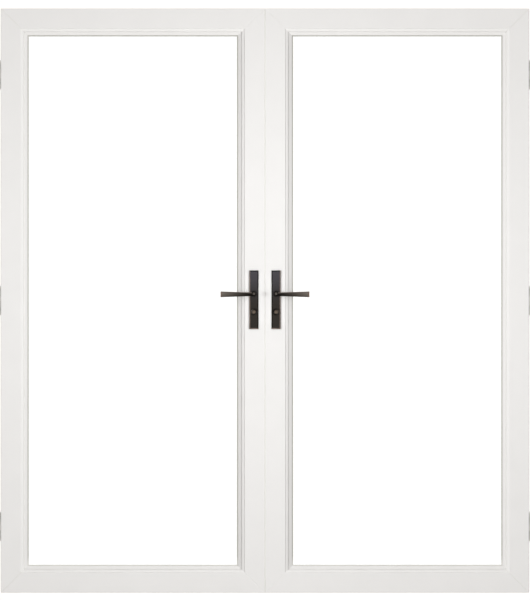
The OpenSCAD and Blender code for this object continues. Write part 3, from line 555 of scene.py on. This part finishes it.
# %% Painted light on the top and wear on the tip of the levers
TIP_WEAR, TIP_MOST = 6 * MM, 0.6
TOP_LIGHT_SPAN, LIGHT_BELOW, LIGHT_ABOVE = 9 * MM, 0.65, 1.3
lever_low, lever_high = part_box("outer_lever_left")
lever_tip = -lever_low.x
lever_level = (lever_low.z + lever_high.z) / 2
tree = lever_bronze.node_tree
height = add(tree, "ShaderNodeSeparateXYZ", links={0: tree.nodes["where"].outputs["Object"]}).outputs["Z"]
painted_top_light = add(tree, "ShaderNodeMapRange",
           {"From Min": lever_level - TOP_LIGHT_SPAN, "From Max": lever_level + TOP_LIGHT_SPAN,
            "To Min": LIGHT_BELOW, "To Max": LIGHT_ABOVE}, {"Value": height})
top_lit_tone = add(tree, "ShaderNodeMix", {0: 1.0}, {6: tree.nodes["tone"].outputs[2], 7: painted_top_light.outputs[0]},
                  data_type="RGBA", blend_type="MULTIPLY")
handled = add(tree, "ShaderNodeMapRange",
              {"From Min": lever_tip - TIP_WEAR, "From Max": lever_tip, "To Max": TIP_MOST},
              {"Value": tree.nodes["across"].outputs[0]}, interpolation_type="SMOOTHSTEP")
ended = add(tree, "ShaderNodeMix", {7: linear(COPPER_LIGHT)},
            {0: handled.outputs[0], 6: top_lit_tone.outputs[2]}, data_type="RGBA")
tree.links.new(ended.outputs[2], tree.nodes["Principled BSDF"].inputs["Base Color"])
print("lever tip at", round(lever_tip / MM, 1), "mm")

# %% Finishes of the rubbed edges and of the painted sheen
copper = speckled("bronze_rubbed_to_copper", COPPER_DARK, COPPER_LIGHT, 5, (0.30, 0.45), metal=1.0)
# Painted sheen of the upper bevel: pale brown-grey, without the red of bare copper
upper_bevel_sheen = speckled("bronze_upper_bevel_sheen", "#766C68", "#938781", 5, (0.32, 0.45), metal=1.0)
print(copper.name, upper_bevel_sheen.name)

# %% [markdown]
# The key plug is brass that has gone dull. Its tone follows the distance from its axis: a painted highlight a
# little below the middle, and painted shade at the rim.

# %% Brass of the key plug
HIGHLIGHT_R, SHADE_R = 1 * MM, 7 * MM
HIGHLIGHT_GAIN, RIM_SHADE = 1.65, 0.55
brass = speckled("worn_brass", "#6A5E55", "#94867A", 3, (0.30, 0.5), metal=1.0)
plug_low, plug_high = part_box("cylinder_plug_left")
plug_mid = (plug_low + plug_high) / 2
tree = brass.node_tree
split = add(tree, "ShaderNodeSeparateXYZ", links={0: add(tree, "ShaderNodeTexCoord").outputs["Object"]})
across = add(tree, "ShaderNodeMath", links={0: split.outputs["X"]}, operation="ABSOLUTE")
spot = add(tree, "ShaderNodeCombineXYZ", links={"X": across.outputs[0], "Z": split.outputs["Z"]})
reach = add(tree, "ShaderNodeVectorMath", {1: (-plug_mid.x, 0, plug_mid.z - HIGHLIGHT_R)}, {0: spot.outputs[0]},
            operation="DISTANCE")
# Painted highlight in the middle, painted shade at the rim
painted_lighting = add(tree, "ShaderNodeMapRange",
             {"From Min": HIGHLIGHT_R, "From Max": SHADE_R, "To Min": HIGHLIGHT_GAIN, "To Max": RIM_SHADE},
             {"Value": reach.outputs["Value"]})
shader = tree.nodes["Principled BSDF"]
face = add(tree, "ShaderNodeMix", {0: 1.0}, {6: shader.inputs["Base Color"].links[0].from_socket,
                                             7: painted_lighting.outputs[0]}, data_type="RGBA", blend_type="MULTIPLY")
tree.links.new(face.outputs[2], shader.inputs["Base Color"])
print(brass.name, "round", [round(c / MM, 1) for c in plug_mid])

# %% [markdown]
# ## Dress the CAD nodes
# The record of the frame already says which node is of which material. Each node's own slot gets the finish
# made above. Bars that lie level get the level version of the plastic, and the small round parts of the
# handles a bronze of their own.

# %% Give every node its finish
SLOT_FINISH = {
    "white_upvc": pvc_upright, "grey_rubber": grey_rubber, "white_rubber": white_rubber,
    "clear_glass": glass, "spacer_aluminium": aluminium, "dark_bronze": plate_bronze, "worn_brass": brass,
    "zinc_steel": zinc, "white_metal": white_coat, "black_plastic": black_plastic,
}
LEVEL_BARS = ("frame_head", "frame_sill", "top_rail_left", "top_rail_right",
              "bottom_rail_left", "bottom_rail_right")
node_slot = {part["node"]: part["material_slot"] for part in frame["record"]["subparts"]}
for name, obj in nodes.items():
    finish = pvc_level if name in LEVEL_BARS else SLOT_FINISH[node_slot[name]]
    if name.startswith(("thumbturn", "plate_bolts")):
        finish = hub_bronze
    if name in ("cylinder_left", "cylinder_right"):
        finish = shaded_ring_bronze
    obj.data.materials.clear()
    obj.data.materials.append(finish)
print("finishes given to", len(nodes), "nodes")

# %% [markdown]
# ## Break the sharp edges of the metal parts
# Nothing that is cast or pressed has a razor edge. A Weld modifier joins the loose triangles of the solid, a
# planar Decimate makes whole faces of them, and a Bevel modifier rounds what is left sharp. On the thumbturns
# the bevel takes the second slot: bare copper.

# %% Bevels on plates, cylinders, key plugs and thumbturns
BEVEL_MM = {"outer_plate": 0.5, "inner_plate": 0.5, "cylinder": 0.4, "cylinder_plug": 0.3, "thumbturn": 0.8}
JOINED_WITHIN = 0.001 * MM
FLAT_ANGLE, SHARP_ANGLE = math.radians(1), math.radians(28)


def break_edges(obj, width, edge_finish=None):
    """Rounds the sharp edges by a width in millimetres, and may give the rounding a finish of its own."""
    weld = obj.modifiers.new("weld", "WELD")
    weld.merge_threshold = JOINED_WITHIN
    flat = obj.modifiers.new("join_flat_faces", "DECIMATE")
    flat.decimate_type = "DISSOLVE"
    flat.angle_limit = FLAT_ANGLE
    bevel = obj.modifiers.new("broken_edges", "BEVEL")
    bevel.width = width * MM
    bevel.segments = 2
    bevel.limit_method = "ANGLE"
    bevel.angle_limit = SHARP_ANGLE
    if edge_finish:
        obj.data.materials.append(edge_finish)
        bevel.material = 1


for side, _ in SIDES:
    for name, width in BEVEL_MM.items():
        break_edges(nodes[f"{name}_{side}"], width, copper if name == "thumbturn" else None)
print("edges broken on", 2 * len(BEVEL_MM), "nodes")

# %% [markdown]
# ## The levers
# A lever is a flat tapered bar, narrow at the neck and tall at the tip, with a broad bevel along its front
# edges. By hand it starts as a cube that is stretched to the bar, its tip is made taller, and its front
# edges are bevelled. The neck is a cylinder, joined to the bar by a Boolean so the two become one casting.
# A last narrow bevel takes the copper finish. One lever is modelled on the left leaf's front and then copied.

# %% Helpers for modelling by hand
def only(obj):
    bpy.ops.object.select_all(action="DESELECT")
    obj.select_set(True)
    bpy.context.view_layer.objects.active = obj


def pick(obj, kind, test):
    """Selects the faces or edges whose middle passes the test, in edit mode."""
    bpy.ops.object.mode_set(mode="EDIT")
    bpy.ops.mesh.select_mode(type=kind)
    bpy.ops.mesh.select_all(action="DESELECT")
    bpy.ops.object.mode_set(mode="OBJECT")
    mesh = obj.data
    chosen = mesh.polygons if kind == "FACE" else mesh.edges
    count = 0
    for item in chosen:
        points = [mesh.vertices[v].co for v in item.vertices]
        if test(sum(points, Vector()) / len(points), item, points):
            item.select = True
            count += 1
    bpy.ops.object.mode_set(mode="EDIT")
    return count


def settle(obj):
    """Leaves edit mode and puts the piece's place into its mesh."""
    bpy.ops.object.mode_set(mode="OBJECT")
    only(obj)
    bpy.ops.object.transform_apply(location=True, rotation=True, scale=True)


def cut(obj, tool, operation):
    made = obj.modifiers.new(operation.lower(), "BOOLEAN")
    made.object = tool
    made.operation = operation
    made.solver = "EXACT"
    only(obj)
    bpy.ops.object.modifier_apply(modifier=made.name)
    bpy.data.objects.remove(tool, do_unlink=True)


print("modelling helpers ready")

# %% The bar of one lever
neck_low, neck_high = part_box("spindle_left")
hub = Vector(((neck_low.x + neck_high.x) / 2, 0, (neck_low.z + neck_high.z) / 2))
BAR_THICK, ROOT_TALL, TIP_TALL = 10 * MM, 12 * MM, 20 * MM
TIP_THIN = 0.9
BAR_DROP = 2 * MM
NECK_R, NECK_PROUD = 8 * MM, 1 * MM
TOUCH = 0.1 * MM
bar_front = lever_low.y + NECK_PROUD
bar_long = hub.x - lever_low.x
bpy.ops.object.select_all(action="DESELECT")
bar_middle = (hub.x - bar_long / 2, bar_front + BAR_THICK / 2, hub.z - BAR_DROP)
bpy.ops.mesh.primitive_cube_add(size=1, location=bar_middle)
lever = bpy.context.object
lever.name = "lever_master"
lever.scale = (bar_long, BAR_THICK, ROOT_TALL)
LEVER_FINISHES = (lever_bronze, copper, hub_bronze, upper_bevel_sheen)
for finish in LEVER_FINISHES:
    lever.data.materials.append(finish)
settle(lever)
tip_x = lever_low.x
pick(lever, "FACE", lambda mid, f, p: abs(mid.x - tip_x) < TOUCH)
bpy.ops.transform.resize(value=(1, TIP_THIN, TIP_TALL / ROOT_TALL),
                         center_override=(tip_x, bar_front + BAR_THICK, hub.z - BAR_DROP))
print("bar", round(bar_long / MM, 1), "mm long")

# %% Its long bevels, broad in front and narrow behind
LONG_EDGE, NEAR = 50 * MM, 2 * MM
FRONT_BEVEL, BACK_BEVEL = 2.6 * MM, 1.6 * MM
pick(lever, "EDGE", lambda mid, e, p: abs(p[0].x - p[1].x) > LONG_EDGE and mid.y < bar_front + NEAR)
bpy.ops.mesh.bevel(offset=FRONT_BEVEL, segments=1, affect="EDGES")
# The upper front bevel gets a painted sheen, as light from above would give it
pick(lever, "FACE", lambda mid, f, p: f.normal.z > 0.4 and f.normal.y < -0.3)
lever.active_material_index = LEVER_FINISHES.index(upper_bevel_sheen)
bpy.ops.object.material_slot_assign()
bar_back = bar_front + BAR_THICK
pick(lever, "EDGE", lambda mid, e, p: abs(p[0].x - p[1].x) > LONG_EDGE and mid.y > bar_back - NEAR)
bpy.ops.mesh.bevel(offset=BACK_BEVEL, segments=2, affect="EDGES")
settle(lever)
print("faces", len(lever.data.polygons))

# %% The neck, joined to the bar
NECK_CLEAR = 0.5 * MM
HUB_RIM, HUB_SUNK = 3.4 * MM, 0.35 * MM
neck_back = leaf_front - NECK_CLEAR
neck_front = lever_low.y
bpy.ops.object.select_all(action="DESELECT")
bpy.ops.mesh.primitive_cylinder_add(vertices=48, radius=NECK_R, depth=neck_back - neck_front,
                                    location=(hub.x, (neck_back + neck_front) / 2, hub.z),
                                    rotation=(math.radians(90), 0, 0))
neck = bpy.context.object
for finish in LEVER_FINISHES:
    neck.data.materials.append(finish)
settle(neck)
pick(neck, "FACE", lambda mid, f, p: abs(mid.y - neck_front) < TOUCH)
bpy.ops.mesh.inset(thickness=HUB_RIM)
bpy.ops.transform.translate(value=(0, HUB_SUNK, 0))
neck.active_material_index = LEVER_FINISHES.index(hub_bronze)
bpy.ops.object.material_slot_assign()
settle(neck)
cut(lever, neck, "UNION")
print("lever faces", len(lever.data.polygons))

# %% The rubbed edges
RUBBED_WIDE = 0.45 * MM
RIM_FROM, RIM_TO = 0.8 * NECK_R, 1.05 * NECK_R


def from_axis(mid):
    return (Vector((mid.x, 0, mid.z)) - hub).length


only(lever)
wear = lever.modifiers.new("rubbed_edges", "BEVEL")
wear.width = RUBBED_WIDE
wear.segments = 2
wear.limit_method = "ANGLE"
wear.angle_limit = math.radians(25)
wear.material = LEVER_FINISHES.index(copper)
bpy.ops.object.modifier_apply(modifier=wear.name)
# The rim of the hub keeps the dark finish instead of copper: painted shade.
pick(lever, "FACE", lambda mid, f, p: RIM_FROM < from_axis(mid) < RIM_TO and mid.y < bar_back)
lever.active_material_index = LEVER_FINISHES.index(lever_bronze)
bpy.ops.object.material_slot_assign()
settle(lever)
bpy.ops.object.shade_smooth_by_angle(angle=math.radians(22))
print("lever faces with rubbed edges", len(lever.data.polygons))

# %% The four levers
leaf_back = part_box("meeting_stile_left")[1].y
turn_over = leaf_front + leaf_back


def copy_of(master, name, flip_x=False, flip_y=False):
    obj = master.copy()
    obj.data = master.data.copy()
    obj.name = name
    bpy.context.scene.collection.objects.link(obj)
    if flip_x:
        obj.data.transform(Matrix.Scale(-1, 4, (1, 0, 0)))
    if flip_y:
        obj.data.transform(Matrix.Translation((0, turn_over, 0)) @ Matrix.Scale(-1, 4, (0, 1, 0)))
    if flip_x != flip_y:
        obj.data.flip_normals()
    return obj


for side, sign in SIDES:
    for place in ("outer", "inner"):
        piece = copy_of(lever, f"{place}_lever_cast_{side}", sign < 0, place == "inner")
        lit_by[side].objects.link(piece)
        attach(piece, f"{side}_handle")
        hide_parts(f"{place}_lever_{side}")
bpy.data.objects.remove(lever, do_unlink=True)
print("levers placed")

# %% [markdown]
# ## Screws
# Hinge plates, keepers and the lock's front strip are held by countersunk screws with a cross slot, and the
# bolts that join two handle plates show their heads on the inner side. One head is modelled: a disc with a
# soft rim, cut by a cross. Each place gets its own copy.

# %% One screw head with a cross slot
HEAD_R, HEAD_T = 3.6 * MM, 1.4 * MM
RIM_WIDE, RIM_RISE = 0.5 * MM, 0.12 * MM
SLOT_WIDE, SLOT_TALL, SLOT_ARM = 0.9 * MM, 1.6 * MM, 1.6 * MM
bpy.ops.object.select_all(action="DESELECT")
bpy.ops.mesh.primitive_cylinder_add(vertices=32, radius=HEAD_R, depth=HEAD_T, location=(0, 0, -HEAD_T / 2))
head = bpy.context.object
settle(head)
pick(head, "FACE", lambda mid, f, p: mid.z > -TOUCH)
bpy.ops.mesh.inset(thickness=RIM_WIDE)
bpy.ops.transform.translate(value=(0, 0, RIM_RISE))
settle(head)
bpy.ops.object.select_all(action="DESELECT")
bpy.ops.mesh.primitive_cube_add(size=1, location=(0, 0, 0))
cross = bpy.context.object
cross.scale = (SLOT_WIDE, SLOT_WIDE, SLOT_TALL)
settle(cross)
pick(cross, "FACE", lambda mid, f, p: abs(f.normal.z) < 0.5)
bpy.ops.mesh.extrude_faces_move(TRANSFORM_OT_shrink_fatten={"value": SLOT_ARM})
settle(cross)
cut(head, cross, "DIFFERENCE")
head.data.materials.clear()
print("screw head faces", len(head.data.polygons))

# %% Screws in hinge plates, keepers and lock strips
def screw(name, at, facing, body, finish, size=1.0):
    obj = head.copy()
    obj.data = head.data.copy()
    obj.name = name
    bpy.context.scene.collection.objects.link(obj)
    turn = Vector((0, 0, 1)).rotation_difference(Vector(facing)).to_matrix().to_4x4()
    obj.data.transform(Matrix.Translation(at) @ turn @ Matrix.Scale(size, 4))
    obj.data.materials.append(finish)
    group = hinges if name.startswith("hinge") else lit_by
    group["right" if body.startswith("right") else "left"].objects.link(obj)
    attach(obj, body)


PROUD = 0.3 * MM
HINGE_TALL, FLANGE_THICK = 96 * MM, 22 * MM
HINGE_SCREW = 0.9
STRIP_END = 10 * MM
KEEPER_THICK, KEEPER_END = 2 * MM, 9 * MM
made = 0
for side, sign in SIDES:
    low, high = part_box(f"hinge_stile_{side}")
    edge_x = low.x if sign > 0 else high.x
    low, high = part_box(f"hinge_leaf_plates_{side}")
    for number, height in enumerate((low.z + HINGE_TALL / 2, (low.z + high.z) / 2, high.z - HINGE_TALL / 2)):
        for step in (-HINGE_TALL / 3, HINGE_TALL / 3):
            at = Vector((edge_x - sign * PROUD, leaf_front + FLANGE_THICK / 2, height + step))
            screw(f"hinge_screw_{side}_{number}_{'low' if step < 0 else 'high'}", at, (-sign, 0, 0),
                  f"{side}_leaf", white_coat, HINGE_SCREW)
            made += 1
    low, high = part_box(f"lock_case_{side}")
    strip_x = high.x if sign > 0 else low.x
    strip_y = (low.y + high.y) / 2
    for end, z in (("low", low.z + STRIP_END), ("high", high.z - STRIP_END)):
        screw(f"lock_strip_screw_{side}_{end}", Vector((strip_x + sign * PROUD, strip_y, z)), (sign, 0, 0),
              f"{side}_leaf", zinc)
        made += 1
low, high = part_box("bolt_keepers")
for level, z, up in (("sill", low.z + KEEPER_THICK + PROUD, 1), ("head", high.z - KEEPER_THICK - PROUD, -1)):
    for side, x in (("left", low.x + KEEPER_END), ("right", high.x - KEEPER_END)):
        screw(f"keeper_screw_{level}_{side}", Vector((x, (low.y + high.y) / 2, z)), (0, 0, up),
              "frame", zinc)
        made += 1
print("screws", made)

# %% Heads of the bolts that join the handle plates
BOLT_SCREW = 1.3
BOLT_END, BOLT_PROUD = 4.9 * MM, 0.35 * MM
for side, _ in SIDES:
    low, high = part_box(f"plate_bolts_{side}")
    for end, z in (("low", low.z + BOLT_END), ("high", high.z - BOLT_END)):
        at = Vector(((low.x + high.x) / 2, high.y + BOLT_PROUD, z))
        screw(f"plate_screw_{side}_{end}", at, (0, 1, 0), f"{side}_leaf", plate_bronze,
              BOLT_SCREW)
bpy.data.objects.remove(head, do_unlink=True)
print("plate screws placed")
